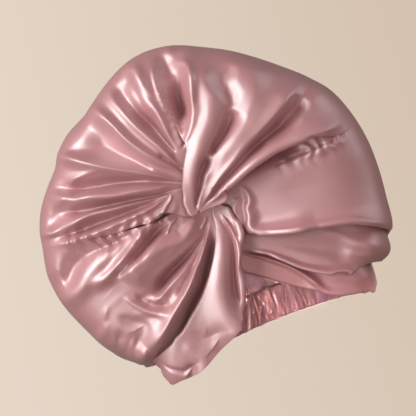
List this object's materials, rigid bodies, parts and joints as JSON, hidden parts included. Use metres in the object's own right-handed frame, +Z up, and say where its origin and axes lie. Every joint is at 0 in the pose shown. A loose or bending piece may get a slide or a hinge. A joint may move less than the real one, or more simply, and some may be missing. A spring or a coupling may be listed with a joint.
{
  "type": "sleep bonnet",
  "caption": "Full satin sleep bonnet gathered into a front twist, with a loose flap beside the face opening and a ruched elastic casing at the nape.",
  "frame": {"origin": "middle of the head opening at rim level, where the head enters", "axes": "+Z up the head, the twist faces -Y, +X is to the right of a viewer who faces the twist"},
  "size_m": [0.272, 0.2594, 0.2464],
  "materials": {
    "crown_left_satin": "dusty rose satin, glossy along the folds",
    "crown_right_satin": "dusty rose satin, glossy along the folds",
    "lower_pleats_satin": "dusty rose satin, glossy along the folds",
    "flap_satin": "dusty rose satin, glossy along the folds",
    "side_right_satin": "dusty rose satin, glossy along the folds",
    "side_tuck_satin": "dusty rose satin, glossy along the folds",
    "front_band_satin": "dusty rose satin, glossy along the folds",
    "nape_satin": "dusty rose satin, ruched over elastic"
  },
  "bodies": {
    "root": {"crown_left": "crown_left_satin", "crown_right": "crown_right_satin", "lower_pleats": "lower_pleats_satin", "flap": "flap_satin", "side_right": "side_right_satin", "side_tuck": "side_tuck_satin", "front_band": "front_band_satin", "nape_band": "nape_satin"}
  },
  "joints": []
}
